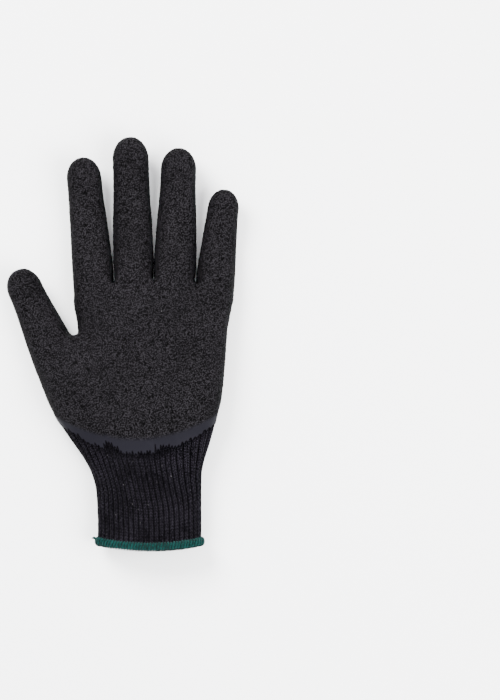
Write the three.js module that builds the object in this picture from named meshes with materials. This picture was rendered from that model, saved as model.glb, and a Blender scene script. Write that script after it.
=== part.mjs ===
// A left-hand work glove lying palm up: a seamless knitted liner, a latex coating on its palm side and
// finger tips, and an overlocked hem round the cuff. Millimetres, +Z up out of the palm, +Y towards the
// finger tips and -X on the thumb side. The liner is a real hollow glove, open at the cuff.
import * as THREE from 'three';
import { mergeVertices } from 'three/addons/utils/BufferGeometryUtils.js';

// Walls and clearances
const knitWall = 1.6;
const latexThickness = 0.9;
const seatGap = 0.3;
const fingerGap = 0.6;
const thumbCrotchRadius = 2;

// Cuff and hem
const cuffWidth = 61.8;
const cuffThickness = 24;
const cuffLength = 44;
const hemHeight = 3.5;
const hemWall = 1.8;
const hemBow = 3;

// Hand, with the latex on
const heelLength = 84.5;
const palmLength = 33.5;
const palmWidth = 89.6;
const palmShift = 1.9;
const palmThickness = 30;
const knuckleThickness = 24;
const knuckleShift = 2.5;
const knuckleArc = 8;
const wristEdgeHeight = 16;
const wristEdgeBow = 18;
const wristTooth = 2.2;

// Depth by which the soft back sinks flat where the glove rests on it
const palmSink = 3.2;
const cuffSink = 2.2;
const fingerSink = 2.6;

// Digits, with the latex on. length runs from the web to the tip, lean is in degrees towards the little
// finger, and curl is how far the back of the tip stands off the surface. columns are those of the mesh
// across one side.
const digits = {
  thumb: { width: 27.4, tipWidth: 22, thickness: 19, length: 51.5, lean: -24.2, curl: 9, columns: 5 },
  index: { width: 24.2, tipWidth: 21, thickness: 17.5, length: 79, lean: -4.9, curl: 9, columns: 5 },
  middle: { width: 23, tipWidth: 21.8, thickness: 18, length: 87, lean: -1.5, curl: 10, columns: 5 },
  ring: { width: 24.4, tipWidth: 21.4, thickness: 17.5, length: 80.5, lean: 2.1, curl: 9, columns: 5 },
  little: { width: 23, tipWidth: 18.6, thickness: 16, length: 60, lean: 6, curl: 8, columns: 4 },
};
const fingers = ['index', 'middle', 'ring', 'little'];

// How far the latex comes down the back of each digit from its tip, and how much further at the sides
const tipLatex = {
  thumb: { dip: 16, arch: 12 },
  index: { dip: 27, arch: 13 },
  middle: { dip: 29, arch: 12 },
  ring: { dip: 28, arch: 14 },
  little: { dip: 25, arch: 14 },
};

// How the hand widens from the wrist to the thumb crotch. at is a share of heelLength, the two sides are
// shares of the way from the cuff's half width to the hand's, and thickness from the cuff's to the palm's.
const heelSections = [
  { at: -0.3, thumbSide: 0.0, littleSide: 0.0, thickness: 0.0 },
  { at: -0.08, thumbSide: 0.03, littleSide: 0.0, thickness: 0.05 },
  { at: 0.04, thumbSide: 0.1, littleSide: 0.02, thickness: 0.2 },
  { at: 0.13, thumbSide: 0.2, littleSide: 0.13, thickness: 0.4 },
  { at: 0.22, thumbSide: 0.33, littleSide: 0.3, thickness: 0.6 },
  { at: 0.32, thumbSide: 0.48, littleSide: 0.47, thickness: 0.82 },
  { at: 0.42, thumbSide: 0.62, littleSide: 0.62, thickness: 1.0 },
  { at: 0.53, thumbSide: 0.72, littleSide: 0.75, thickness: 1.08 },
  { at: 0.66, thumbSide: 0.83, littleSide: 0.84, thickness: 1.1 },
  { at: 0.86, thumbSide: 1.0, littleSide: 0.92, thickness: 1.05 },
  { at: 1.0, thumbSide: 1.12, littleSide: 1.0, thickness: 1.0 },
];

// Soft forms on the palm side. x is a share of palmWidth from the cuff's centre line, y of the hand's
// length from the wrist to the knuckles, reach of palmWidth and rise of palmThickness.
const palmForms = [
  { name: 'ball of the thumb', x: -0.42, y: 0.45, reach: 0.25, rise: 0.12 },
  { name: 'outer heel', x: 0.32, y: 0.36, reach: 0.22, rise: 0.05 },
  { name: 'hollow of the palm', x: 0.02, y: 0.6, reach: 0.28, rise: -0.1 },
  { name: 'pad under the fingers', x: 0.1, y: 0.9, reach: 0.26, rise: 0.04 },
];

// How square a cross-section is: 2 is an ellipse, and more is squarer
const cuffSquareness = 2.3;
const palmSquareness = 2.7;
const tipSquareness = 2.15;

// Shares that shape the digits: a tip's round end is a share of its half width, and the rest of its length.
// The root of the thumb is a share of palmThickness.
const tipRoundness = 1.25;
const thinBy = 0.55;
const liftBy = 0.4;
const roundBy = 0.33;
const levelBy = 0.3;
const thumbRootHeight = 0.86;

// The webs lie between these shares of the hand's thickness, and round off over this many web radii.
const webHigh = 0.8;
const webLow = 0.16;
const webReach = 1.6;

// Shares of the heel and the palm from where on they take the form of what comes next, and between which
// the bow of the courses straightens
const heelTurn = 0.5;
const bowFrom = 0.1;
const bowTo = 0.85;
const palmTurn = 0.35;

// Fineness of the mesh
const webColumns = 2;
const thumbWebColumns = 3;
const cuffRows = 2;
const wristRows = 2;
const heelRows = 7;
const palmRows = 4;
const lowerDigitRows = 3;
const upperDigitRows = 2;
const tipRows = 4;
const archRows = 2.5;
const profileSteps = 96;

// Sizes that follow from those above
const coat = seatGap + latexThickness;
const webRadius = fingerGap / 2 + coat;
const crotchRadius = thumbCrotchRadius + coat;
const wristY = cuffLength;
const crotchY = wristY + heelLength;
const knuckleY = crotchY + palmLength;
const hemOut = seatGap + hemWall;
const rimY = hemOut;
const hemTop = rimY + hemHeight;
const palmLeft = palmShift - palmWidth / 2 + coat;
const palmRight = palmShift + palmWidth / 2 - coat;
const knuckleWidth = fingers.reduce((sum, name) => sum + digits[name].width + fingerGap, -fingerGap);
const knuckleLeft = knuckleShift - knuckleWidth / 2 + coat;
const knuckleRight = knuckleShift + knuckleWidth / 2 - coat;
const crotchX = palmLeft - crotchRadius;
const frontColumns = Object.values(digits).reduce((sum, digit) => sum + digit.columns, 0);
const palmColumns = frontColumns - digits.thumb.columns;

const mix = THREE.MathUtils.lerp;
const smooth = (share) => THREE.MathUtils.smoothstep(share, 0, 1);
const clampShare = (share) => THREE.MathUtils.clamp(share, 0, 1);
const quarterRound = (share) => Math.sqrt(1 - (1 - clampShare(share)) ** 2);
const signedPower = (value, power) => Math.sign(value) * Math.abs(value) ** power;

// A rounded cross-section, given as evenly spaced places round it that start at its left end and go over
// the palm side. The part of it below the surface that it rests on is pressed flat.
function crossSection(halfWidth, height, bottom, squareness, floor = 0) {
  const middle = bottom + height / 2;
  const places = [];
  const walked = [0];
  for (let step = 0; step <= profileSteps; step += 1) {
    const angle = Math.PI - (2 * Math.PI * step) / profileSteps;
    const x = halfWidth * signedPower(Math.cos(angle), 2 / squareness);
    const z = middle + (height / 2) * signedPower(Math.sin(angle), 2 / squareness);
    places.push(new THREE.Vector2(x, Math.max(z, floor)));
    if (step > 0) walked.push(walked[step - 1] + places[step].distanceTo(places[step - 1]));
  }
  const round = walked[profileSteps];
  return (share) => {
    const target = (share - Math.floor(share)) * round;
    let step = 1;
    while (step < profileSteps && walked[step] < target) step += 1;
    const part = (target - walked[step - 1]) / Math.max(walked[step] - walked[step - 1], 1e-9);
    return places[step - 1].clone().lerp(places[step], clampShare(part));
  };
}

// Reads one column of a table at a place between its rows, on a smooth curve through them.
function fromTable(rows, column, at) {
  const last = rows.length - 1;
  let row = 1;
  while (row < last && rows[row].at < at) row += 1;
  const slope = (index) => {
    const low = rows[Math.max(index - 1, 0)];
    const high = rows[Math.min(index + 1, last)];
    return (high[column] - low[column]) / (high.at - low.at);
  };
  const [low, high] = [rows[row - 1], rows[row]];
  const span = high.at - low.at;
  const s = clampShare((at - low.at) / span);
  const rise = smooth(s);
  const turn = span * s * (1 - s) * ((1 - s) * slope(row - 1) - s * slope(row));
  return mix(low[column], high[column], rise) + turn;
}

// Lifts a point of the palm side by the soft forms there, and leaves the back as it is.
function addPalmForms(point) {
  const isFront = smooth((point.z - 0.3 * palmThickness) / (0.4 * palmThickness));
  for (const form of palmForms) {
    const dx = point.x / palmWidth - form.x;
    const dy = (point.y - wristY - form.y * (knuckleY - wristY)) / palmWidth;
    const share = Math.exp(-(dx * dx + dy * dy) / (form.reach * form.reach));
    point.z += form.rise * palmThickness * share * isFront;
  }
}

// Each digit's liner sizes, axis and columns. A digit has side columns where a web joins it to the next.
function layOutDigits() {
  let x = knuckleLeft - coat;
  for (const [name, digit] of Object.entries(digits)) {
    const tilt = THREE.MathUtils.degToRad(digit.lean);
    digit.along = new THREE.Vector2(Math.sin(tilt), Math.cos(tilt));
    digit.across = new THREE.Vector2(Math.cos(tilt), -Math.sin(tilt));
    digit.half = digit.width / 2 - coat;
    digit.tipHalf = digit.tipWidth / 2 - coat;
    digit.reach = digit.length - coat;
    digit.capStart = digit.reach - digit.tipHalf * tipRoundness;
    if (name === 'thumb') {
      digit.leftWeb = 0;
      digit.rightWeb = thumbWebColumns;
      digit.webGap = crotchRadius;
      digit.base = new THREE.Vector2(crotchX, crotchY);
      digit.base.addScaledVector(digit.across, -digit.half - crotchRadius);
    } else {
      digit.leftWeb = name === 'index' ? thumbWebColumns : webColumns;
      digit.rightWeb = name === 'little' ? 0 : webColumns;
      digit.webGap = webRadius;
      digit.base = new THREE.Vector2(x + digit.width / 2, knuckleLine(x + digit.width / 2));
      x += digit.width + fingerGap;
    }
    digit.ring = 2 * digit.columns + digit.leftWeb + digit.rightWeb;
    digit.name = name;
  }
}

// The line of the finger webs, which curves down to both sides.
function knuckleLine(x) {
  const share = (2 * (x - knuckleShift)) / knuckleWidth;
  return knuckleY - knuckleArc * share * share;
}

// A place on the web at a digit's left side, from its palm side, at share 0, through to the back, at 1.
function webPlace(digit, share) {
  const isThumbs = digit === digits.index;
  const x = isThumbs ? crotchX : digit.base.x - digit.half - webRadius;
  const y = isThumbs ? crotchY : knuckleLine(x);
  const thickness = isThumbs ? palmThickness : knuckleThickness;
  return new THREE.Vector3(x, y, thickness * mix(webHigh, webLow, share));
}

// A point of a digit before it meets the webs. column counts round it from the left of its palm side.
function digitPlain(digit, column, distance) {
  const capShare = clampShare((distance - digit.capStart) / (digit.reach - digit.capStart));
  const round = Math.sqrt(1 - capShare * capShare);
  const share = distance / digit.reach;
  const half = mix(digit.half, digit.tipHalf, smooth(distance / digit.capStart)) * round;
  const rootHeight = digit === digits.thumb ? palmThickness * thumbRootHeight : knuckleThickness;
  const height = mix(rootHeight, digit.thickness, smooth(share / thinBy)) - 2 * coat;
  const bottom = digit.curl * share * share - fingerSink * (1 - smooth(share / liftBy));
  const squareness = mix(palmSquareness, tipSquareness, smooth(share / roundBy));
  const section = crossSection(half, height * round, bottom + (height * (1 - round)) / 2, squareness);
  const at = section((column + digit.leftWeb / 2) / digit.ring);
  const plan = digit.base.clone().addScaledVector(digit.along, distance).addScaledVector(digit.across, at.x);
  return new THREE.Vector3(plan.x, plan.y, at.y);
}

// Where a digit's first row of points lies: on the webs at its sides, else on the line of the knuckles.
function digitRoot(digit, column) {
  const names = Object.keys(digits);
  const next = digits[names[names.indexOf(digit.name) + 1]];
  const right = digit.columns + digit.rightWeb;
  const back = right + digit.columns;
  if (digit.rightWeb > 0 && column >= digit.columns && column <= right) {
    return { point: webPlace(next, (column - digit.columns) / digit.rightWeb), atWeb: true };
  }
  if (digit.leftWeb > 0 && digit.name !== 'index' && (column >= back || column === 0)) {
    const share = column === 0 ? 0 : 1 - (column - back) / digit.leftWeb;
    return { point: webPlace(digit, share), atWeb: true };
  }
  const point = digitPlain(digit, column, 0);
  if (digit.name !== 'thumb') point.y = knuckleLine(point.x);
  return { point, atWeb: false };
}

// A point of a digit, whose root blends into the webs and the knuckles.
function digitPoint(digit, column, distance) {
  const root = digitRoot(digit, column);
  const shift = root.point.sub(digitPlain(digit, column, 0));
  const round = 1 - quarterRound(distance / (webReach * digit.webGap));
  const level = root.atWeb ? round : 1 - smooth(distance / (levelBy * digit.reach));
  return digitPlain(digit, column, distance).add(shift.multiply(new THREE.Vector3(round, level, round)));
}

// The four-finger palm, from the thumb crotch up to the finger webs. Its ring is the palm side, the back
// and then the web columns on the thumb's side.
function palmPlain(column, share) {
  const left = mix(palmLeft, knuckleLeft, smooth(share));
  const right = mix(palmRight, knuckleRight, smooth(share));
  const height = mix(palmThickness, knuckleThickness, smooth(share)) - coat;
  const section = crossSection((right - left) / 2, height + palmSink, -palmSink, palmSquareness);
  const at = section((column + thumbWebColumns / 2) / (2 * palmColumns + thumbWebColumns));
  const x = (left + right) / 2 + at.x;
  return new THREE.Vector3(x, crotchY + share * (knuckleLine(x) - crotchY), at.y);
}

// A point of the palm, rounded into the thumb's web at its start and into the finger roots at its end.
function palmPoint(column, share) {
  const point = palmPlain(column, share);
  const turn = smooth((share - palmTurn) / (1 - palmTurn));
  point.addScaledVector(knucklePoint(column).sub(palmPlain(column, 1)), turn);
  if (column <= 0 || column >= 2 * palmColumns) {
    const root = webPlace(digits.index, column <= 0 ? 0 : 1 - (column - 2 * palmColumns) / thumbWebColumns);
    const round = 1 - quarterRound((share * palmLength) / (webReach * crotchRadius));
    point.addScaledVector(root.sub(palmPlain(column, 0)), round);
  }
  return point;
}

// The palm's last row, which is also the first row of the fingers.
function knucklePoint(column) {
  const side = 2 * palmColumns;
  const { index } = digits;
  if (column >= side) return digitPoint(index, index.ring - thumbWebColumns + column - side, 0);
  const onBack = column > palmColumns;
  let place = onBack ? side - column : column;
  let order = 0;
  while (place > digits[fingers[order]].columns) {
    place -= digits[fingers[order]].columns;
    order += 1;
  }
  const digit = digits[fingers[order]];
  return digitPoint(digit, onBack ? 2 * digit.columns + digit.rightWeb - place : place, 0);
}

// The hand's last row below the thumb crotch: the thumb's first row and the palm's, side by side.
function crotchPoint(column) {
  const { thumb } = digits;
  const side = 2 * frontColumns - thumb.columns;
  if (column <= thumb.columns) return digitPoint(thumb, column, 0);
  if (column >= side) return digitPoint(thumb, thumb.columns + thumb.rightWeb + column - side, 0);
  return palmPoint(column - thumb.columns, 0);
}

// Cuff, wrist and heel of the hand, from the rim up to the thumb crotch. A row of points is a course of
// the knitting, and it bows up to the sides. y is its height at the middle of the palm.
function handPlain(column, y) {
  const climb = clampShare((y - wristY) / heelLength);
  const thumbEnd = digitPlain(digits.thumb, 0, 0);
  const dip = (crotchY - thumbEnd.y) * climb * climb;
  const fade = smooth((climb - bowFrom) / (bowTo - bowFrom));
  const bow = mix(hemBow, wristEdgeBow, smooth((y - rimY) / (wristY - rimY))) * (1 - fade);
  const heel = (column, height) => fromTable(heelSections, column, (height - wristY) / heelLength);
  const left = -mix(cuffWidth / 2, -thumbEnd.x, heel('thumbSide', y + bow - dip));
  const right = mix(cuffWidth / 2, palmRight, heel('littleSide', y + bow));
  const height = mix(cuffThickness, palmThickness - coat, heel('thickness', y));
  const lift = hemOut * (1 - smooth((y - hemTop) / hemHeight));
  const sink = mix(cuffSink, palmSink, climb);
  const squareness = mix(cuffSquareness, palmSquareness, climb);
  const section = crossSection((right - left) / 2, height + sink, lift - sink, squareness, lift);
  const place = section(column / (2 * frontColumns));
  const side = (2 * place.x) / (right - left);
  const tilt = dip * clampShare(-side) ** 1.5;
  return new THREE.Vector3((left + right) / 2 + place.x, y + bow * side * side - tilt, place.y);
}

// A point of the hand, which turns into the roots of the thumb and the palm towards the thumb crotch.
function handPoint(column, y) {
  const turnY = wristY + heelTurn * heelLength;
  const turn = smooth((y - turnY) / (crotchY - turnY));
  const point = handPlain(column, y);
  if (turn === 0) return point;
  return point.addScaledVector(crotchPoint(column).sub(handPlain(column, crotchY)), turn);
}

// A patch is a grid of points, bent from a flat plane. point gets the column and row of each corner.
function patch(columns, rows, point, tag) {
  const grid = new THREE.PlaneGeometry(columns, rows, columns, rows);
  const places = grid.attributes.position;
  for (let index = 0; index < places.count; index += 1) {
    const column = Math.round(places.getX(index) + columns / 2);
    const row = Math.round(places.getY(index) + rows / 2);
    const at = point(column, row);
    places.setXYZ(index, at.x, at.y, at.z);
  }
  const faces = [];
  for (let index = 0; index < grid.index.count; index += 3) {
    const quad = Math.floor(index / 6);
    const row = rows - 1 - Math.floor(quad / columns);
    faces.push({ corners: [0, 1, 2].map((n) => grid.index.getX(index + n)), ...tag(quad % columns, row) });
  }
  return { places, faces };
}

// Joins patches at the points that they share, and drops the faces that closed up at a tip.
function weld(patches) {
  const points = [];
  const known = new Map();
  const faces = [];
  for (const { places, faces: patchFaces } of patches) {
    const names = [];
    for (let index = 0; index < places.count; index += 1) {
      const point = new THREE.Vector3().fromBufferAttribute(places, index);
      const key = point.toArray().map((value) => Math.round(value * 1000)).join(' ');
      if (!known.has(key)) known.set(key, points.push(point) - 1);
      names.push(known.get(key));
    }
    for (const face of patchFaces) {
      const corners = face.corners.map((corner) => names[corner]);
      if (new Set(corners).size === 3) faces.push({ ...face, corners });
    }
  }
  return { points, faces };
}

// Outward direction at each point of a welded surface.
function outward(points, faces) {
  const normals = points.map(() => new THREE.Vector3());
  for (const { corners } of faces) {
    const [a, b, c] = corners.map((corner) => points[corner]);
    const normal = b.clone().sub(a).cross(c.clone().sub(a));
    corners.forEach((corner) => normals[corner].add(normal));
  }
  return normals.map((normal) => normal.normalize());
}

// A closed wall between two offsets of a surface. Its open edges are joined by a strip.
function wall(surface, faces, outer, inner) {
  const shifted = (depth) => surface.points.map(
    (point, index) => point.clone().addScaledVector(surface.normals[index], depth),
  );
  const count = surface.points.length;
  const positions = [...shifted(outer), ...shifted(inner)].flatMap((point) => point.toArray());
  const triangles = [];
  const edges = new Map();
  for (const { corners } of faces) {
    const [a, b, c] = corners;
    triangles.push(a, b, c, c + count, b + count, a + count);
    [[a, b], [b, c], [c, a]].forEach(([from, to]) => edges.set(`${from} ${to}`, [from, to]));
  }
  for (const [from, to] of edges.values()) {
    if (!edges.has(`${to} ${from}`)) triangles.push(to, from, from + count, to, from + count, to + count);
  }
  return solid(positions, triangles);
}

function solid(positions, triangles) {
  const geometry = new THREE.BufferGeometry();
  geometry.setAttribute('position', new THREE.Float32BufferAttribute(positions, 3));
  geometry.setIndex(triangles);
  const flat = geometry.toNonIndexed();
  const merged = mergeVertices(flat, 1e-4);
  merged.computeVertexNormals();
  return merged;
}

// The whole outer surface of the liner, as patches that meet along shared rows and columns.
function linerSurface() {
  const ring = 2 * frontColumns;
  const isTooth = (column, row) => row === wristEdgeRow && column < frontColumns && column % 2 === 1;
  const handPatch = patch(
    ring,
    handRows.length - 1,
    (column, row) => handPoint(column % ring, handRows[row] + (isTooth(column, row) ? wristTooth : 0)),
    (column, row) => {
      const wrapsSide = column === frontColumns && row > wristEdgeRow + 1;
      return { coated: row >= wristEdgeRow && (column < frontColumns || wrapsSide) };
    },
  );

  const palmRing = 2 * palmColumns + thumbWebColumns;
  const palmPatch = patch(
    palmRing,
    palmShares.length - 1,
    (column, row) => palmPoint(column % palmRing, palmShares[row]),
    (column) => ({ coated: column <= palmColumns || column >= 2 * palmColumns }),
  );

  const digitPatches = Object.values(digits).map((digit) => {
    const { edge, places } = digitRowPlaces(digit);
    const back = digit.columns + digit.rightWeb;
    const isBack = (column) => column >= back && column < back + digit.columns;
    const archShift = (column, row) => {
      const side = (2 * (column - back)) / digit.columns - 1;
      if (Math.abs(side) > 1) return 0;
      return -tipLatex[digit.name].arch * side * side * Math.max(1 - Math.abs(row - edge) / archRows, 0);
    };
    return patch(
      digit.ring,
      places.length - 1,
      (corner, row) => {
        const column = corner % digit.ring;
        return digitPoint(digit, column, places[row] + archShift(column, row));
      },
      (column, row) => ({ coated: !isBack(column) || row >= edge }),
    );
  });

  const surface = weld([handPatch, palmPatch, ...digitPatches]);
  surface.points.forEach(addPalmForms);
  surface.normals = outward(surface.points, surface.faces);
  return surface;
}

// Evenly spaced places after the first one.
const spaced = (from, to, count) => Array.from({ length: count }, (_, n) => mix(from, to, (n + 1) / count));

// The first rows next to a web are close together, because they round it.
const rootRows = (gap) => [0, 0.25 * gap, 0.75 * gap, webReach * gap];

// Places of a digit's rows along it, up to the row where the latex ends on the back and on to the tip.
function digitRowPlaces(digit) {
  const roots = rootRows(digit.webGap);
  const latexEdge = digit.reach - tipLatex[digit.name].dip;
  const lower = spaced(roots.at(-1), latexEdge, lowerDigitRows);
  const upper = spaced(latexEdge, digit.capStart, upperDigitRows);
  const tipAngles = spaced(0, Math.PI / 2, tipRows);
  const tip = tipAngles.map((angle) => mix(digit.capStart, digit.reach, Math.sin(angle)));
  return { edge: roots.length - 1 + lowerDigitRows, places: [...roots, ...lower, ...upper, ...tip] };
}

// Heights of the rows up the hand and, above the thumb crotch, of those up the palm.
const handRows = [
  rimY,
  ...spaced(rimY, hemTop + hemHeight, 2),
  ...spaced(hemTop + hemHeight, wristY, cuffRows),
  ...spaced(wristY, wristY + wristEdgeHeight, wristRows),
  ...spaced(wristY + wristEdgeHeight, crotchY, heelRows),
];
const wristEdgeRow = handRows.indexOf(wristY + wristEdgeHeight);
const palmRootRows = rootRows(crotchRadius);
const palmHeights = [...palmRootRows, ...spaced(palmRootRows.at(-1), palmLength, palmRows)];
const palmShares = palmHeights.map((height) => height / palmLength);

// The hem wraps the raw rim of the cuff, so its section is a U that is open towards the hand.
function hemSolid() {
  const ring = 2 * frontColumns;
  const inside = -knitWall - seatGap;
  const lining = inside - hemWall;
  const roll = 0.9 * hemOut;
  const section = [
    { out: seatGap, up: -seatGap },
    { out: inside, up: -seatGap },
    { out: inside, up: hemHeight },
    { out: lining, up: hemHeight },
    { out: lining, up: 0 },
    { out: mix(lining, inside, 0.5), up: -roll },
    { out: mix(lining, hemOut, 0.5), up: -hemOut },
    { out: mix(seatGap, hemOut, 0.5), up: -roll },
    { out: hemOut, up: 0 },
    { out: hemOut, up: hemHeight },
    { out: seatGap, up: hemHeight },
  ];
  const frame = (column) => {
    const point = handPoint(column, rimY);
    const above = handPoint(column, rimY + hemHeight);
    const before = handPoint((column + ring - 1) % ring, rimY);
    const after = handPoint((column + 1) % ring, rimY);
    const up = above.sub(point).normalize();
    const out = after.sub(before).normalize().cross(up).normalize();
    return { point, up, out };
  };
  const hem = patch(
    ring,
    section.length,
    (column, row) => {
      const { point, up, out } = frame(column % ring);
      const corner = section[row % section.length];
      return point.addScaledVector(out, corner.out).addScaledVector(up, corner.up);
    },
    () => ({}),
  );
  const surface = weld([hem]);
  const positions = surface.points.flatMap((point) => point.toArray());
  return solid(positions, surface.faces.flatMap(({ corners }) => corners));
}

function sub(name, geometry, color, roughness) {
  const mesh = new THREE.Mesh(geometry, new THREE.MeshStandardMaterial({ color, roughness, metalness: 0 }));
  mesh.name = name;
  return mesh;
}

layOutDigits();
const liner = linerSurface();
const coated = liner.faces.filter((face) => face.coated);

const glove = new THREE.Group();
glove.add(
  sub('knit_liner', wall(liner, liner.faces, 0, -knitWall), 0x1c1b20, 0.95),
  sub('latex_coating', wall(liner, coated, coat, seatGap), 0x2e2d31, 0.6),
  sub('cuff_hem', hemSolid(), 0x1f6a5a, 0.9),
);

// The origin is the middle of the glove's outline, on the surface that it rests on.
const reach = new THREE.Box3().setFromObject(glove, true);
const middle = reach.getCenter(new THREE.Vector3());
glove.position.set(-middle.x, -middle.y, -reach.min.z);
glove.updateMatrixWorld(true);

export default glove;
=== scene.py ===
# %% [markdown]
# # A latex coated grip glove, lying palm up
#
# A machine knits the whole glove in one go from black yarn. It is then pulled over a hand-shaped form and
# dipped in latex, which coats the palm and the finger tips. Last, green yarn is overlocked round the rim
# of the cuff so that it can't fray. This lesson builds the same things in the same order: the knitting,
# the latex over it, and the hem.
#
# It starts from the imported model, which says where each part is. Whatever is made here takes the place of
# a plain part there, at the same size and in the same spot.

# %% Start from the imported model
import math
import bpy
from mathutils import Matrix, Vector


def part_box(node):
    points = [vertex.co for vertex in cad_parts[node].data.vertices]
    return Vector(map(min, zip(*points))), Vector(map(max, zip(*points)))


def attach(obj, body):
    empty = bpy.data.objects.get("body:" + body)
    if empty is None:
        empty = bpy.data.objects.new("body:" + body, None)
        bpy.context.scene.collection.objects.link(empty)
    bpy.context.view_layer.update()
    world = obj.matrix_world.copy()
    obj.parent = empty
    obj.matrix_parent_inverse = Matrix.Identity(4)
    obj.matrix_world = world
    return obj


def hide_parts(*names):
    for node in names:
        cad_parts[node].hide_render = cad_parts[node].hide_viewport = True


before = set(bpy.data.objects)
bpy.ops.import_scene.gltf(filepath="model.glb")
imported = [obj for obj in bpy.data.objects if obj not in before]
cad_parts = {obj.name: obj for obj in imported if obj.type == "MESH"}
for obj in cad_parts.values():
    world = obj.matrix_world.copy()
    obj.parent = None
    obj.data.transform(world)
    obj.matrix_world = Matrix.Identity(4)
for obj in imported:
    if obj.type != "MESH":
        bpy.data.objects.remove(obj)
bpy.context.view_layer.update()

from types import SimpleNamespace

import bmesh
import bpy
import numpy as np
from mathutils import Vector, kdtree, noise

# %% [markdown]
# ## The camera
#
# The picture looks straight down on the table. A camera that is far off and has a long lens keeps the
# sides of the glove from leaning outwards, as a studio photograph does. Every pixel shows 0.6 mm, so the
# picture is 420 mm high, and the glove lies in its left half.

# %% A camera straight above the table
view_centre = Vector((0.0767, -0.0036, 0.014))
view_height = 0.420
camera_distance = 3.0


def add_object(name, data):
    """Puts a mesh, a light or a camera into the scene."""
    thing = bpy.data.objects.new(name, data)
    bpy.context.collection.objects.link(thing)
    return thing


camera = add_object("camera", bpy.data.cameras.new("camera"))
camera.location = view_centre + Vector((0, 0, camera_distance))
camera.data.sensor_fit = "VERTICAL"
camera.data.sensor_height = 24
camera.data.lens = camera.data.sensor_height * camera_distance / view_height
camera.data.clip_end = 20
bpy.context.scene.camera = camera
print("lens", round(camera.data.lens, 1), "mm")

# %% [markdown]
# ## Sizes of the glove
#
# All of the glove's layers follow one surface, the outside of the knitting. These are its sizes in
# millimetres, measured from the middle of the cuff's rim. The digits are tables of their own sizes: how
# wide, thick and long each one is, how far it leans, and how far its tip curls up off the table.

# %% Sizes in millimetres
KNIT_WALL, LATEX, SEAT_GAP, FINGER_GAP, THUMB_CROTCH = 1.6, 0.9, 0.3, 0.6, 2.0
CUFF_WIDTH, CUFF_THICK, CUFF_LONG = 61.8, 24.0, 44.0
HEM_HIGH, HEM_WALL, HEM_BOW = 3.5, 1.8, 3.0
HEEL_LONG, PALM_LONG, PALM_WIDTH, PALM_SHIFT = 84.5, 33.5, 89.6, 1.9
PALM_THICK, KNUCKLE_THICK, KNUCKLE_SHIFT, KNUCKLE_ARC = 30.0, 24.0, 2.5, 8.0
EDGE_HIGH, EDGE_BOW = 16.0, 18.0
PALM_SINK, CUFF_SINK, FINGER_SINK = 3.2, 2.2, 2.6
CUFF_SQUARE, PALM_SQUARE, TIP_SQUARE = 2.3, 2.7, 2.15
RIB_GATHER = 1.4  # how many columns the ribs crowd towards the middle of the palm side, above the wrist
GATHER_START, GATHER_LONG = 18, 36  # where the ribs begin to crowd, and over what length they do
RIBS_END, RIBS_FADE = 50, 18  # where the ribs begin to give way to jersey, and over what length
SOAKED_LONG, SOAKED_FADE = 7, 6  # how far below its edge the latex soaks in, and how gradually

digit_sizes = ("width", "tip", "thick", "long", "lean", "curl", "columns", "dip", "arch")
digits = {name: SimpleNamespace(**dict(zip(digit_sizes, sizes))) for name, *sizes in (
    ("thumb", 27.4, 22, 19, 51.5, -24.2, 9, 5, 16, 12),
    ("index", 24.2, 21, 17.5, 79, -4.9, 9, 5, 27, 13),
    ("middle", 23, 21.8, 18, 87, -1.5, 10, 5, 29, 12),
    ("ring", 24.4, 21.4, 17.5, 80.5, 2.1, 9, 5, 28, 14),
    ("little", 23, 18.6, 16, 60, 6, 8, 4, 25, 14),
)}
fingers = list(digits)[1:]

# Each row: share of the heel's length, how far the thumb side and the little finger's side have widened,
# and how far the thickness has grown.
heel_rows = np.array([
    (-0.3, 0.0, 0.0, 0.0), (-0.08, 0.03, 0.0, 0.05), (0.04, 0.1, 0.02, 0.2), (0.13, 0.2, 0.13, 0.4),
    (0.22, 0.33, 0.3, 0.6), (0.32, 0.48, 0.47, 0.82), (0.42, 0.62, 0.62, 1.0), (0.53, 0.72, 0.75, 1.08),
    (0.66, 0.83, 0.84, 1.1), (0.86, 1.0, 0.92, 1.05), (1.0, 1.12, 1.0, 1.0),
])
# Soft forms of the palm: where each one is, how far it reaches and how far it rises.
palm_forms = {
    "ball of the thumb": (-0.42, 0.45, 0.25, 0.12),
    "outer heel": (0.32, 0.36, 0.22, 0.05),
    "hollow of the palm": (0.02, 0.6, 0.28, -0.1),
    "pad under the fingers": (0.1, 0.9, 0.26, 0.04),
}

COAT = SEAT_GAP + LATEX
WEB_RADIUS = FINGER_GAP / 2 + COAT
CROTCH_RADIUS = THUMB_CROTCH + COAT
RIM = SEAT_GAP + HEM_WALL
WRIST, CROTCH = CUFF_LONG, CUFF_LONG + HEEL_LONG
EDGE_START = WRIST + EDGE_HIGH
WRAP_START = EDGE_START + 12  # above here the latex wraps round the sides of the hand
KNUCKLE = CROTCH + PALM_LONG
PALM_LEFT = PALM_SHIFT - PALM_WIDTH / 2 + COAT
PALM_RIGHT = PALM_SHIFT + PALM_WIDTH / 2 - COAT
KNUCKLE_WIDTH = sum(digits[name].width for name in fingers) + 3 * FINGER_GAP
KNUCKLE_LEFT = KNUCKLE_SHIFT - KNUCKLE_WIDTH / 2 + COAT
KNUCKLE_RIGHT = KNUCKLE_SHIFT + KNUCKLE_WIDTH / 2 - COAT
CROTCH_X = PALM_LEFT - CROTCH_RADIUS
PER_COLUMN = 8  # places worked out in each column
FRONT = sum(digit.columns for digit in digits.values())
PALM_FRONT = FRONT - digits["thumb"].columns
THUMB_WEB, FINGER_WEB = 3, 2  # columns of the web beside the thumb, and of those between the fingers
print(FRONT, "columns across the hand,", PALM_FRONT, "across the palm")

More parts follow.
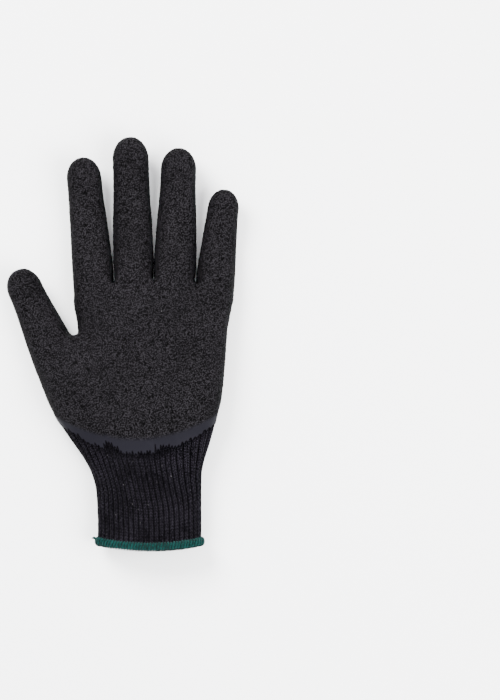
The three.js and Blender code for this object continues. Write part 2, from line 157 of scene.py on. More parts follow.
# %% [markdown]
# ## One surface for all layers
#
# A knitted glove is a set of tubes, so each part of the surface is a cross-section that changes from row
# to row. A column number says where a point is round the tube, starting at the thumb's side and going over
# the palm first. Flattening each section where it would go under the table makes the soft back lie down.
# The alternative is to sculpt a mesh by hand, but then the latex, the hem and the stitches could not be
# laid along it.

# %% Helpers for numbers and directions
def smooth(share):
    share = np.clip(share, 0.0, 1.0)
    return share * share * (3 - 2 * share)


def mix(low, high, share):
    return low + (high - low) * share


def quarter_round(share):
    return np.sqrt(1 - (1 - np.clip(share, 0.0, 1.0)) ** 2)


def squarer(wave, power):
    """Bends a sine or a cosine, so that the round they draw gets squarer."""
    return np.sign(wave) * np.abs(wave) ** power


def unit(vectors):
    return vectors / np.linalg.norm(vectors, axis=-1, keepdims=True)


def from_table(rows, column, at):
    """Reads a column of a table on a smooth curve through its rows."""
    places, values = rows[:, 0], rows[:, column]
    low = int(np.clip(np.searchsorted(places, at) - 1, 0, len(rows) - 2))
    slopes = np.array([(values[min(i + 1, len(rows) - 1)] - values[max(i - 1, 0)])
                       / (places[min(i + 1, len(rows) - 1)] - places[max(i - 1, 0)]) for i in (low, low + 1)])
    span = places[low + 1] - places[low]
    s = np.clip((at - places[low]) / span, 0.0, 1.0)
    turn = span * s * (1 - s) * ((1 - s) * slopes[0] - s * slopes[1])
    return mix(values[low], values[low + 1], smooth(s)) + turn


turn_angles = np.linspace(math.pi, -math.pi, 769)


def cross_section(share, half, height, bottom, square, floor=0.0):
    """Places at even steps round a rounded section: x and z for each share of the way round."""
    x = half * squarer(np.cos(turn_angles), 2 / square)
    z = np.maximum(bottom + height / 2 + height / 2 * squarer(np.sin(turn_angles), 2 / square), floor)
    walked = np.concatenate([[0.0], np.cumsum(np.hypot(np.diff(x), np.diff(z)))])
    target = (share % 1.0) * walked[-1]
    return np.interp(target, walked, x), np.interp(target, walked, z)


# %% The digits
def knuckle_line(x):
    return KNUCKLE - KNUCKLE_ARC * (2 * (x - KNUCKLE_SHIFT) / KNUCKLE_WIDTH) ** 2


left = KNUCKLE_LEFT - COAT
for name, digit in digits.items():
    tilt = math.radians(digit.lean)
    digit.along = np.array([math.sin(tilt), math.cos(tilt)])
    digit.across = np.array([math.cos(tilt), -math.sin(tilt)])
    digit.half = digit.width / 2 - COAT
    digit.tip_half = digit.tip / 2 - COAT
    digit.reach = digit.long - COAT
    digit.cap = digit.reach - digit.tip_half * 1.25
    if name == "thumb":
        digit.left_web, digit.right_web, digit.gap = 0, THUMB_WEB, CROTCH_RADIUS
        digit.base = np.array([CROTCH_X, CROTCH]) - digit.across * (digit.half + CROTCH_RADIUS)
    else:
        digit.left_web = THUMB_WEB if name == "index" else FINGER_WEB
        digit.right_web = 0 if name == "little" else FINGER_WEB
        digit.gap = WEB_RADIUS
        middle = left + digit.width / 2
        digit.base = np.array([middle, knuckle_line(middle)])
        left += digit.width + FINGER_GAP
    digit.ring = 2 * digit.columns + digit.left_web + digit.right_web
    digit.back = digit.columns + digit.right_web
    digit.edge = digit.reach - digit.dip


def web_place(name, share):
    """A place on the web at a digit's left side, from the palm side, at 0, through to the back, at 1."""
    is_thumb = name == "index"
    x = CROTCH_X if is_thumb else digits[name].base[0] - digits[name].half - WEB_RADIUS
    y = CROTCH if is_thumb else knuckle_line(x)
    thick = PALM_THICK if is_thumb else KNUCKLE_THICK
    share = np.asarray(share, float)
    return np.stack([np.full_like(share, x), np.full_like(share, y), thick * mix(0.8, 0.16, share)], -1)


def digit_plain(name, column, distance):
    digit = digits[name]
    cap = np.clip((distance - digit.cap) / (digit.reach - digit.cap), 0.0, 1.0)
    blunt = math.sqrt(max(1 - cap * cap, 0.0))
    share = distance / digit.reach
    half = mix(digit.half, digit.tip_half, smooth(distance / digit.cap)) * blunt
    root = PALM_THICK * 0.86 if name == "thumb" else KNUCKLE_THICK
    height = mix(root, digit.thick, smooth(share / 0.55)) - 2 * COAT
    bottom = digit.curl * share * share - FINGER_SINK * (1 - smooth(share / 0.4))
    square = mix(PALM_SQUARE, TIP_SQUARE, smooth(share / 0.33))
    x, z = cross_section((column + digit.left_web / 2) / digit.ring, half, height * blunt,
                         bottom + height * (1 - blunt) / 2, square)
    swell = min(0.1 + 0.06 * distance, 0.8) * smooth(distance / 4) * (1 - smooth((distance - 32) / 26))
    leans = np.clip(x / half, -1, 1) if half > 0 else 0 * x
    beside = np.where(x > 0, name in fingers[:-1], name in fingers[1:])
    x = x + swell * leans * np.abs(leans) * beside
    plan = digit.base + digit.along * distance + digit.across * x[:, None]
    return np.column_stack([plan, z])


def pulled_to_web(column, low, high, ring, web, plain):
    """How strongly each column is pulled to a web that spans the columns low to high, and which way."""
    wrapped = np.where((high >= ring) & (column < ring / 2), column + ring, column)
    nearest = np.clip(wrapped, low, high)
    weight = smooth(1 - np.abs(wrapped - nearest) / 1.6)
    return weight[:, None], web((nearest - low) / (high - low)) - plain(nearest % ring)


def let_go(distance, gap, weight):
    """How much of the pull is left at a distance: the web is round, and beside it the cloth is slack."""
    quick = 1 - quarter_round(distance / (1.6 * gap))
    slack = 1 - smooth(distance / (5 * gap))
    return mix(slack, quick, weight ** 5)


def digit_point(name, column, distance):
    digit = digits[name]
    names = list(digits)
    root = digit_plain(name, column, 0.0)
    settle = np.zeros_like(root)
    if name != "thumb":
        settle[:, 1] = knuckle_line(root[:, 0]) - root[:, 1]
    level = 1 - smooth(distance / (0.3 * digit.reach))
    point = digit_plain(name, column, distance)
    free = np.ones((len(column), 1))
    webs = []
    if digit.right_web:
        following = names[names.index(name) + 1]
        webs.append((digit.columns, digit.back, lambda s: web_place(following, s)))
    if digit.left_web and name != "index":
        webs.append((digit.ring - digit.left_web, digit.ring, lambda s: web_place(name, 1 - s)))
    for low, high, web in webs:
        weight, pull = pulled_to_web(column, low, high, digit.ring, web,
                                     lambda c: digit_plain(name, c, 0.0))
        point = point + weight * pull * let_go(distance, digit.gap, weight)
        free = free * (1 - weight)
    return point + free * settle * level


print({name: round(float(digit.edge), 1) for name, digit in digits.items()}, "latex ends on the backs")

# %% The palm and the hand below it
def palm_plain(column, share):
    low, high = mix(PALM_LEFT, KNUCKLE_LEFT, smooth(share)), mix(PALM_RIGHT, KNUCKLE_RIGHT, smooth(share))
    height = mix(PALM_THICK, KNUCKLE_THICK, smooth(share)) - COAT
    x, z = cross_section((column + THUMB_WEB / 2) / (2 * PALM_FRONT + THUMB_WEB), (high - low) / 2,
                         height + PALM_SINK, -PALM_SINK, PALM_SQUARE)
    x = x + (low + high) / 2
    return np.column_stack([x, CROTCH + share * (knuckle_line(x) - CROTCH), z])


def knuckle_point(column):
    """The palm's last row, which is also the first row of the fingers."""
    point = np.zeros((len(column), 3))
    start = 0
    for name in fingers:
        digit = digits[name]
        front = (column >= start) & (column <= start + digit.columns)
        place = 2 * PALM_FRONT - column
        back = (place >= start) & (place <= start + digit.columns) & (column > PALM_FRONT)
        point[front] = digit_point(name, column[front] - start, 0.0)
        point[back] = digit_point(name, digit.back + digit.columns - (place[back] - start), 0.0)
        start += digit.columns
    web = column > 2 * PALM_FRONT
    index = digits["index"]
    point[web] = digit_point("index", index.ring - THUMB_WEB + column[web] - 2 * PALM_FRONT, 0.0)
    return point


def palm_point(column, share, knuckles=None):
    """A point of the palm. knuckles are the long and the short shift that lead to its last row."""
    ring = 2 * PALM_FRONT + THUMB_WEB
    column = column % ring
    point = palm_plain(column, share)
    if knuckles:
        point = point + knuckles[0] * smooth((share - 0.3) / 0.7)
        point = point + knuckles[1] * smooth((share - 0.68) / 0.32)
    weight, pull = pulled_to_web(column, 2 * PALM_FRONT, ring, ring, lambda s: web_place("index", 1 - s),
                                 lambda c: palm_plain(c, 0.0))
    return point + weight * pull * let_go(share * PALM_LONG, CROTCH_RADIUS, weight)


def crotch_point(column):
    """The hand's last row: the thumb's first row and the palm's, side by side."""
    thumb = digits["thumb"]
    side = 2 * FRONT - thumb.columns
    point = np.zeros((len(column), 3))
    low, high = column < thumb.columns, column > side
    point[low] = digit_point("thumb", column[low], 0.0)
    point[high] = digit_point("thumb", thumb.back + column[high] - side, 0.0)
    rest = ~low & ~high
    point[rest] = palm_point(column[rest] - thumb.columns, 0.0)
    return point


thumb_end = digit_plain("thumb", np.zeros(1), 0.0)[0]


def hand_plain(column, y):
    climb = np.clip((y - WRIST) / HEEL_LONG, 0.0, 1.0)
    dip = (CROTCH - thumb_end[1]) * climb * climb
    bow = mix(HEM_BOW, EDGE_BOW, smooth((y - RIM) / (WRIST - RIM))) * (1 - smooth((climb - 0.1) / 0.75))
    low = -mix(CUFF_WIDTH / 2, -thumb_end[0], from_table(heel_rows, 1, (y + bow - dip - WRIST) / HEEL_LONG))
    high = mix(CUFF_WIDTH / 2, PALM_RIGHT, from_table(heel_rows, 2, (y + bow - WRIST) / HEEL_LONG))
    height = mix(CUFF_THICK, PALM_THICK - COAT, from_table(heel_rows, 3, (y - WRIST) / HEEL_LONG))
    lift = (SEAT_GAP + HEM_WALL) * (1 - smooth((y - RIM - HEM_HIGH) / HEM_HIGH))
    sink = mix(CUFF_SINK, PALM_SINK, climb)
    round_front = 2 * np.pi * column / FRONT
    gather = RIB_GATHER * smooth((y - GATHER_START) / GATHER_LONG) * (1 - smooth((climb - 0.5) / 0.4))
    gather = gather * (np.sin(round_front) + 0.25 * np.sin(2 * round_front))
    column = column + gather * (column % (2 * FRONT) < FRONT)
    x, z = cross_section(column / (2 * FRONT), (high - low) / 2, height + sink, lift - sink,
                         mix(CUFF_SQUARE, PALM_SQUARE, climb), lift)
    side = 2 * x / (high - low)
    fall = dip * np.clip(-side, 0.0, 1.0) ** 1.5
    return np.column_stack([(low + high) / 2 + x, y + bow * side * side - fall, z])


def hand_point(column, y, crotch):
    """A point of the hand. crotch is the long and the short shift that lead to its last row."""
    half_way = WRIST + HEEL_LONG / 2
    near = smooth((y - CROTCH + 13) / 13)
    return hand_plain(column, y) + crotch[0] * smooth((y - half_way) / (CROTCH - half_way)) + crotch[1] * near


def long_and_short(shift, reach=1.5):
    """Splits the shift of a row into a part that is even from column to column, and the rest."""
    ring = shift[:-1]
    offsets = np.arange(-3 * PER_COLUMN, 3 * PER_COLUMN + 1)
    weights = np.exp(-(offsets / (reach * PER_COLUMN)) ** 2)
    even = sum(w * np.roll(ring, k, axis=0) for k, w in zip(offsets, weights / weights.sum()))
    even = np.vstack([even, even[:1]])
    return even, shift - even


def soften(point):
    """Adds the soft forms of the palm, and faint waves that no cloth is without."""
    x, y, z = point.T
    is_front = smooth((z - 0.3 * PALM_THICK) / (0.4 * PALM_THICK))
    for at_x, at_y, reach, rise in palm_forms.values():
        dx = x / PALM_WIDTH - at_x
        dy = (y - WRIST - at_y * (KNUCKLE - WRIST)) / PALM_WIDTH
        z = z + rise * PALM_THICK * np.exp(-(dx * dx + dy * dy) / reach ** 2) * is_front
    wave = np.sin(x / 7.3 + 1.7 * np.sin(y / 11.0)) * np.sin(y / 8.9 + 1.1 * np.sin(x / 13.0))
    return np.column_stack([x, y, z + 0.22 * wave * smooth((z - 4) / 8)])


# %% [markdown]
# Working out a section for every point of a fine mesh would be slow. So each tube is worked out once as a
# table of points, and every mesh reads its places from the tables.

# %% Tables of the hand, the palm and the digits
def columns_round(ring):
    return np.linspace(0, ring, ring * PER_COLUMN + 1)


def make_table(ring, places, point_at):
    columns = columns_round(ring)
    rows = np.array([soften(point_at(columns, place)) for place in places])
    return SimpleNamespace(ring=ring, places=np.asarray(places), rows=rows)


def digit_places(name, step, tip_steps):
    """Distances along a digit, with small even turns over its round end."""
    digit = digits[name]
    straight = np.linspace(0, digit.cap, max(int(round(digit.cap / step)), 2) + 1)
    angles = np.linspace(0, math.pi / 2, tip_steps + 1)[1:]
    return np.concatenate([straight, mix(digit.cap, digit.reach, np.sin(angles))])


hand_columns, palm_columns = columns_round(2 * FRONT), columns_round(2 * PALM_FRONT + THUMB_WEB)
to_crotch = long_and_short(crotch_point(hand_columns % (2 * FRONT)) - hand_plain(hand_columns, CROTCH))
to_knuckles = long_and_short(knuckle_point(palm_columns % (2 * PALM_FRONT + THUMB_WEB))
                             - palm_plain(palm_columns, 1.0))
tables = {
    "hand": make_table(2 * FRONT, np.linspace(RIM, CROTCH, 190),
                       lambda column, y: hand_point(column, y, to_crotch)),
    "palm": make_table(2 * PALM_FRONT + THUMB_WEB, np.linspace(0, 1, 70),
                       lambda column, share: palm_point(column, share, to_knuckles)),
}
for name, digit in digits.items():
    tables[name] = make_table(digit.ring, digit_places(name, 0.5, 48),
                              lambda column, distance: digit_point(name, column % digit.ring, distance))


def read_table(name, column, place):
    """Points of a table between its rows and columns, in millimetres."""
    table = tables[name]
    rows = table.rows
    c = (column % table.ring) * PER_COLUMN
    r = np.interp(place, table.places, np.arange(len(table.places)))
    c0 = np.minimum(np.floor(c).astype(int), rows.shape[1] - 2)
    r0 = np.minimum(np.floor(r).astype(int), rows.shape[0] - 2)
    c, r = (c - c0)[:, None], (r - r0)[:, None]
    low = mix(rows[r0, c0], rows[r0, c0 + 1], c)
    return mix(low, mix(rows[r0 + 1, c0], rows[r0 + 1, c0 + 1], c), r)


hem_low, hem_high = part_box("cuff_hem")
origin_shift = np.array([(hem_low.x + hem_high.x) * 500, hem_low.y * 1000, 0.0])
print("tables:", {name: table.rows.shape[:2] for name, table in tables.items()}, "shift", origin_shift)

# %% [markdown]
# ## From tables to meshes
#
# Each tube starts as a flat grid from the grid operator. Its points are moved onto the surface, and where
# two grids meet their points coincide, so a merge joins them to one skin. Two skins, an outer and an
# inner one, are then bridged at their open edges, which gives a closed wall with a real thickness.

# %% Grids laid on the surface
COURSE = 1.7  # height of one course of stitches, in millimetres
MERGED = 2e-6  # points closer than this, in metres, become one


def course_number(name, place):
    """Which course of the knitting a place lies on, counted from the rim of the cuff."""
    if name == "hand":
        return (place - RIM) / COURSE
    if name == "palm":
        return (CROTCH - RIM + place * PALM_LONG) / COURSE
    start = CROTCH if name == "thumb" else KNUCKLE
    return (start - RIM + place) / COURSE


def flat_grid(name, across, along, size=1.0):
    """A flat grid from the grid operator, with each point's shares of the way across and along it."""
    bm = bmesh.new()
    bmesh.ops.create_grid(bm, x_segments=across, y_segments=along, size=size)
    mesh = bpy.data.meshes.new(name)
    bm.to_mesh(mesh)
    bm.free()
    flat = np.empty(len(mesh.vertices) * 3)
    mesh.vertices.foreach_get("co", flat)
    return mesh, (flat.reshape(-1, 3)[:, :2] / size + 1) / 2


def lay_out(mesh, points, pairs):
    """Moves points to places in millimetres, and writes a pair of numbers for each to the UV map."""
    mesh.vertices.foreach_set("co", ((points + origin_shift) / 1000).astype(np.float32).ravel())
    corner = np.empty(len(mesh.loops), np.int32)
    mesh.loops.foreach_get("vertex_index", corner)
    uv = mesh.uv_layers.new(name="stitches")
    uv.data.foreach_set("uv", pairs[corner].astype(np.float32).ravel())
    return corner


def write_numbers(mesh, label, values):
    mesh.attributes.new(label, "FLOAT", "POINT").data.foreach_set("value", values.astype(np.float32))


def grid_on(name, columns, places, bend=None, keep=None):
    """A grid laid on one table. bend may shift its columns and places, and keep says which faces stay."""
    columns, places = np.asarray(columns, float), np.asarray(places, float)
    mesh, shares = flat_grid(name, len(columns) - 1, len(places) - 1)
    i, j = (np.rint(shares * (len(columns) - 1, len(places) - 1)).astype(int)).T
    column, place = columns[i], places[j]
    if bend:
        column, place = bend(name, column, place)
    course = course_number(name, place)
    write_numbers(mesh, "column", column)
    write_numbers(mesh, "course", course)
    corner = lay_out(mesh, read_table(name, column, place), np.column_stack([column, course]))
    if keep:
        corners = corner.reshape(-1, 4)
        kept = keep(name, columns[i][corners].mean(1), places[j][corners].mean(1))
        mesh.attributes.new("kept", "INT", "FACE").data.foreach_set("value", kept.astype(np.int32))
    return mesh


def joined(grids):
    """Joins grids along the points that they share."""
    bm = bmesh.new()
    for mesh in grids:
        bm.from_mesh(mesh)
        bpy.data.meshes.remove(mesh)
    layer = bm.faces.layers.int.get("kept")
    if layer:
        dropped = [face for face in bm.faces if face[layer] == 0]
        bmesh.ops.delete(bm, geom=dropped, context="FACES")
        bm.faces.layers.int.remove(layer)
    bmesh.ops.remove_doubles(bm, verts=bm.verts, dist=MERGED)
    mesh = bpy.data.meshes.new("skin")
    bm.to_mesh(mesh)
    bm.free()
    return mesh


def numbers(mesh, label):
    values = np.empty(len(mesh.vertices), np.float32)
    mesh.attributes[label].data.foreach_get("value", values)
    return values.astype(float)


def points_and_normals(mesh):
    points, normals = (np.empty(len(mesh.vertices) * 3, np.float32) for _ in range(2))
    mesh.vertices.foreach_get("co", points)
    mesh.vertex_normals.foreach_get("vector", normals)
    return points.reshape(-1, 3).astype(float), normals.reshape(-1, 3).astype(float)


def raise_skin(mesh, heights):
    """Moves each point along its normal, in millimetres, and never below the table."""
    points, normals = points_and_normals(mesh)
    points = points + normals * heights[:, None] / 1000
    points[:, 2] = np.maximum(points[:, 2], 0.00002)
    mesh.vertices.foreach_set("co", points.astype(np.float32).ravel())
    mesh.update()


def rims(bm):
    """The open edges of a mesh, sorted into rings that hang together."""
    left = {edge for edge in bm.edges if edge.is_boundary}
    found = []
    while left:
        ring, reached = [], [left.pop()]
        while reached:
            edge = reached.pop()
            ring.append(edge)
            touching = {other for vert in edge.verts for other in vert.link_edges if other in left}
            left -= touching
            reached += touching
        found.append(ring)
    return found


def middle_of(ring):
    return sum((vert.co for edge in ring for vert in edge.verts), Vector()) / (2 * len(ring))


def add_piece(name, mesh, note=""):
    triangles = sum(len(face.vertices) - 2 for face in mesh.polygons)
    print(f"{name}: {triangles} triangles{note}")
    return add_object(name, mesh)


def closed_wall(name, outer, inner):
    """Bridges each rim of an outer skin to the nearest rim of an inner one, and makes the piece."""
    bm = bmesh.new()
    bm.from_mesh(inner)
    bmesh.ops.reverse_faces(bm, faces=bm.faces)
    inner_rims = rims(bm)
    bm.from_mesh(outer)
    inner_edges = {edge for ring in inner_rims for edge in ring}
    outer_rims = [ring for ring in rims(bm) if ring[0] not in inner_edges]
    made = []
    for ring in outer_rims:
        nearest = min(inner_rims, key=lambda other: (middle_of(other) - middle_of(ring)).length)
        made += bmesh.ops.bridge_loops(bm, edges=ring + nearest)["faces"]
    for face in bm.faces:
        face.smooth = True
    for edge in {edge for face in made for edge in face.edges}:
        edge.smooth = False
    mesh = bpy.data.meshes.new(name)
    bm.to_mesh(mesh)
    still_open = sum(edge.is_boundary for edge in bm.edges)
    longest = max((edge.calc_length() for face in made for edge in face.edges), default=0)
    bm.free()
    for skin in (outer, inner):
        bpy.data.meshes.remove(skin)
    return add_piece(name, mesh, f", {still_open} open edges, longest rim edge {longest * 1000:.2f} mm")


def spread(*parts):
    """Column positions: each part is a number of columns and how finely each one is divided."""
    columns, at = [0.0], 0
    for count, fineness in parts:
        columns += [at + (n + 1) / fineness for n in range(count * fineness)]
        at += count
    return columns


def steps(low, high, size):
    return np.linspace(low, high, max(int(round((high - low) / size)), 1) + 1)


# %% [markdown]
# ## The knitting
#
# Close up, knitting is rows of V-shaped stitches. Each column of them is a wale, and each row a course.
# The hand is plain jersey: every wale stands proud by the same small amount. The cuff is ribbed, which makes
# it elastic: here each rib is two wales wide, and the knitting sinks between the ribs. Modelling each loop of
# yarn would take millions of faces. Instead the mesh has four points to a wale and three rows to a course,
# and each point is raised or sunk as the yarn would be, which is enough to catch the light and to roughen
# the outline. The finest threads are left to the material.

# %% Height of the stitches
stitch_luck = np.random.default_rng(11).random((512, 512))


def leg_of_v(u, course):
    """One wale: two slanting legs that meet in the middle. u runs from -0.5 to 0.5 across it."""
    a = np.abs(u) * 2
    leg = np.sin(np.pi * a) ** 0.7 * 0.8 + 0.2 * (1 - a)
    strand = 0.5 + 0.5 * np.cos(2 * np.pi * (course - 0.8 * a))
    return leg, leg * strand


def stitch_height(column, course, rib):
    """Height of the knitting in millimetres. rib is 1 where it is ribbed and 0 where it is jersey."""
    u = column % 1.0 - 0.5
    leg, strand = leg_of_v(u, course)
    valley = (2 * np.abs(u)) ** 2.2
    ribbed = 0.14 * leg + 0.16 * strand - 0.95 * valley + 0.1
    w = (column * 2) % 1.0 - 0.5
    leg, strand = leg_of_v(w, course)
    jersey = 0.14 * leg + 0.2 * strand - 0.22 * (2 * np.abs(w)) ** 2
    luck = stitch_luck[np.floor(column * 2).astype(int) % 512, np.floor(course).astype(int) % 512]
    return mix(jersey, ribbed, rib) + 0.1 * (luck - 0.5)


def up_hand(mesh):
    """How far up the hand each point lies, in millimetres."""
    return numbers(mesh, "course") * COURSE + RIM


def rib_share(mesh):
    """Ribbed at the cuff, and plain above the wrist."""
    return 1 - smooth((up_hand(mesh) - RIBS_END) / RIBS_FADE)


def soaked_share(mesh):
    """1 where yarn has drawn in latex, just below the edge of the dip on the palm side, and 0 elsewhere."""
    above = up_hand(mesh) - EDGE_START + SOAKED_LONG
    return smooth(above / SOAKED_FADE) * (numbers(mesh, "column") < FRONT)


def raise_stitches(mesh):
    """Raises the stitches of an outer skin, and notes for the material how ribbed it is."""
    ribbed = rib_share(mesh)
    raise_skin(mesh, stitch_height(numbers(mesh, "column"), numbers(mesh, "course"), ribbed))
    write_numbers(mesh, "ribbed", ribbed)


def slant(name, column, place):
    """Slants the rows of the mesh along the legs of the stitches, except at the ends of each tube."""
    table = tables[name].places
    unit = PALM_LONG if name == "palm" else 1.0
    inside = smooth(np.minimum(place - table[0], table[-1] - place) * unit / (2 * COURSE))
    w = (column * 2) % 1.0 - 0.5
    lean = 0.8 * (2 * np.abs(w) - 0.5) * COURSE * inside
    return column, place + lean / unit


# %% The ribbed cuff
CUFF_TOP = 64.0  # where the cuff's piece ends, under the latex on the palm side

cuff_outer = joined([grid_on("hand", spread((2 * FRONT, 8)), steps(RIM, CUFF_TOP, COURSE / 3), slant)])
raise_stitches(cuff_outer)
write_numbers(cuff_outer, "soaked", soaked_share(cuff_outer))
cuff_inner = joined([grid_on("hand", spread((2 * FRONT, 8)), steps(RIM, CUFF_TOP, COURSE))])
raise_skin(cuff_inner, 0.45 * np.cos(2 * np.pi * numbers(cuff_inner, "column")) * rib_share(cuff_inner)
           - KNIT_WALL - 0.2)
knitted_cuff = closed_wall("knitted_cuff", cuff_outer, cuff_inner)

# %% [markdown]
# The hand and the fingers follow the same rule. Most of their palm side is hidden under the latex, so the
# mesh is fine across the back only, and coarse across the front. Both have the same rows, so nothing
# tears where fine and coarse columns meet.

# %% The knitted hand and fingers
def knit_rows(name, fine):
    """Rows of a tube: one in three to a course where the knitting shows, and far apart elsewhere."""
    step = COURSE / 3 if fine else 3.2
    if name == "hand":
        return steps(CUFF_TOP, CROTCH, step)
    if name == "palm":
        return steps(0, 1, step / PALM_LONG)
    digit = digits[name]
    shown = digit.edge + 2.5
    over_tip = digit_places(name, 2.4, 7)
    return np.concatenate([steps(0, shown, step), over_tip[over_tip > shown + 1.2]])


def knit_skin(fine):
    parts = {"hand": ((FRONT, 2), (FRONT, 8)), "palm": ((PALM_FRONT, 2), (PALM_FRONT, 8), (THUMB_WEB, 2))}
    for name, digit in digits.items():
        parts[name] = ((digit.back, 2), (digit.columns, 8), (digit.left_web, 2))
    return joined([grid_on(name, spread(*parts[name]), knit_rows(name, fine), slant if fine else None)
                   for name in parts])


hand_outer = knit_skin(True)
raise_stitches(hand_outer)
hand_inner = knit_skin(False)
raise_skin(hand_inner, np.full(len(hand_inner.vertices), -KNIT_WALL))
knitted_hand = closed_wall("knitted_hand", hand_outer, hand_inner)

# %% [markdown]
# ## The latex
#
# The form is dipped palm first, so latex covers the palm and wraps a little way round each side and over
# the finger tips. It soaks into the knitting at its edge and thins out there. Each wale ends in a bead of
# bare yarn, and latex hangs down between the beads. The skin is a fine grid on the same tables, lifted off
# the knitting, with the faces of the back of the hand left out. The edge gets its teeth by shifting the rows
# near it. The inner side of the skin ends a little higher, without teeth, so that it stays hidden.

# %% Where the latex ends
edge_luck = np.random.default_rng(5).random((8, 64))
# In millimetres along the hand: where the shortest bead ends, how far beads and clumps of beads vary and
# reach, how far latex hangs down between beads, and how high the inner side of the skin ends.
BEAD_LOW, BEAD_VARIES, CLUMP_LONG, CLUMP_VARIES, LATEX_HANGS, TUCKED = -1.1, 1.8, 1.6, 2.4, 1.3, 5.0


def bare_stitches(wale, row):
    """How far up the edge each wale is left bare, in millimetres: here and there, three together go far."""
    clump, own = edge_luck[(row + 4) % 8][(wale + row) // 3 % 64], edge_luck[row][wale % 64]
    return BEAD_VARIES * own + (CLUMP_LONG + CLUMP_VARIES * own) * (clump > 0.5) + BEAD_LOW


def teeth(wale, row, size):
    """An uneven edge: a round bead of bare yarn ends each wale, and latex hangs down between the beads."""
    number, across = np.floor(wale).astype(int), wale % 1.0
    here = bare_stitches(number, row)
    beside = bare_stitches(np.where(across < 0.5, number - 1, number + 1), row)
    bead = smooth(3 * np.minimum(across, 1 - across))
    return size * mix(np.minimum(here, beside) - LATEX_HANGS, here, bead)


def waver(place, row):
    """A slow and a quick wander along an edge that runs up the hand."""
    return (0.12 * np.sin(place / 2.3 + row) + 0.1 * np.sin(place / 0.9 + 2.1 * row)
            + 0.1 * np.sin(place / 5.7 + 0.7 * row))


def latex_bend(name, column, place, edge=teeth):
    """Shifts columns and places near the edge of the latex."""
    if name == "hand":
        from_edge = place - EDGE_START
        place = place + edge(column * 2, 0, 1.0) * (1 - smooth(from_edge / 9))
        rise = smooth(from_edge / 14) * (1 - smooth((place - CROTCH + 6) / 6))
        from_side = np.minimum(column, 2 * FRONT - column)
        column = column - waver(place, 1) * rise * smooth(1 - from_side / 4)
        column = column + waver(place, 2) * rise * smooth(1 - np.abs(column - FRONT - 1) / 4)
        return column, place
    if name == "palm":
        inside = smooth(np.minimum(place, 1 - place) * 5)
        inside = inside * smooth(1 - np.abs(column - PALM_FRONT - 1) / 3)
        return column + waver(place * PALM_LONG, 3) * inside, place
    digit = digits[name]
    side = 2 * (column - digit.back) / digit.columns - 1
    on_back = np.abs(side) <= 1
    near = np.clip(1 - np.abs(place - digit.edge) / 30, 0, 1)
    near = np.where(place < digit.edge, near, np.clip(1 - (place - digit.edge) / digit.dip, 0, 1))
    row = list(digits).index(name)
    lift = -digit.arch * side ** 2 + edge(column * 2, row, 0.85) * (1 - side ** 2)
    return column, place + np.where(on_back, lift * near, 0.0)


def tucked_bend(name, column, place):
    """The same for the inner side of the skin, whose edge has no teeth and stays hidden above them."""
    return latex_bend(name, column, place, lambda wale, row, size: TUCKED * size)


def coated(name, column, place):
    """Which faces of the tubes the latex covers."""
    if name == "hand":
        wraps = ((column < FRONT + 1) | (column > 2 * FRONT - 1)) & (place > WRAP_START)
        return (column < FRONT) | wraps
    if name == "palm":
        return (column < PALM_FRONT + 1) | (column > 2 * PALM_FRONT)
    digit = digits[name]
    low = digit.back + (name == "little")
    bare = (column > low) & (column < digit.back + digit.columns - (name == "thumb"))
    return ~bare | (place > digit.edge)


# %% The latex skin
LATEX_FINE = 6
CREASE_DEEP = 0.32


def divided(places, fineness):
    """Divides each step of a list into equal smaller ones."""
    places = np.asarray(places)
    parts = [mix(low, high, np.arange(fineness) / fineness) for low, high in zip(places[:-1], places[1:])]
    return np.concatenate(parts + [places[-1:]])


def latex_rows(name):
    if name == "hand":
        return np.concatenate([steps(EDGE_START, WRAP_START, 4), steps(WRAP_START, CROTCH, 4)[1:]])
    if name == "palm":
        return steps(0, 1, 4 / PALM_LONG)
    digit = digits[name]
    tip = digit_places(name, 4, 5)
    return np.concatenate([steps(0, digit.edge, 4), steps(digit.edge, digit.cap, 4)[1:],
                           tip[tip > digit.cap + 0.01]])


def latex_skin(fineness, bend):
    rings = {"hand": 2 * FRONT, "palm": 2 * PALM_FRONT + THUMB_WEB}
    rings.update({name: digit.ring for name, digit in digits.items()})
    return joined([grid_on(name, spread((ring, fineness)), divided(latex_rows(name), fineness), bend, coated)
                   for name, ring in rings.items()])


def distance_to_edge(mesh):
    """How far each point is from the skin's open edge, in millimetres."""
    uses = np.zeros(len(mesh.edges), int)
    edge_of = np.empty(len(mesh.loops), np.int32)
    mesh.loops.foreach_get("edge_index", edge_of)
    np.add.at(uses, edge_of, 1)
    ends = np.empty(len(mesh.edges) * 2, np.int32)
    mesh.edges.foreach_get("vertices", ends)
    rim = np.unique(ends.reshape(-1, 2)[uses == 1])
    tree = kdtree.KDTree(len(rim))
    for n, index in enumerate(rim):
        tree.insert(mesh.vertices[int(index)].co, n)
    tree.balance()
    return np.array([tree.find(vertex.co)[2] for vertex in mesh.vertices]) * 1000


def crinkle(points):
    """Fine creases of the latex: about -0.5 in the creases and 0.5 on the lumps between them."""
    heights = []
    for x, y, z in points * 1000:
        at = Vector((x, y, z))
        lump = noise.noise(at / 0.8)
        crease = 1 - min(abs(noise.noise(at / 1.0 + Vector((31, 7, 3)))) * 4, 1)
        heights.append(0.9 * lump - 0.5 * crease + 0.15)
    return np.array(heights)


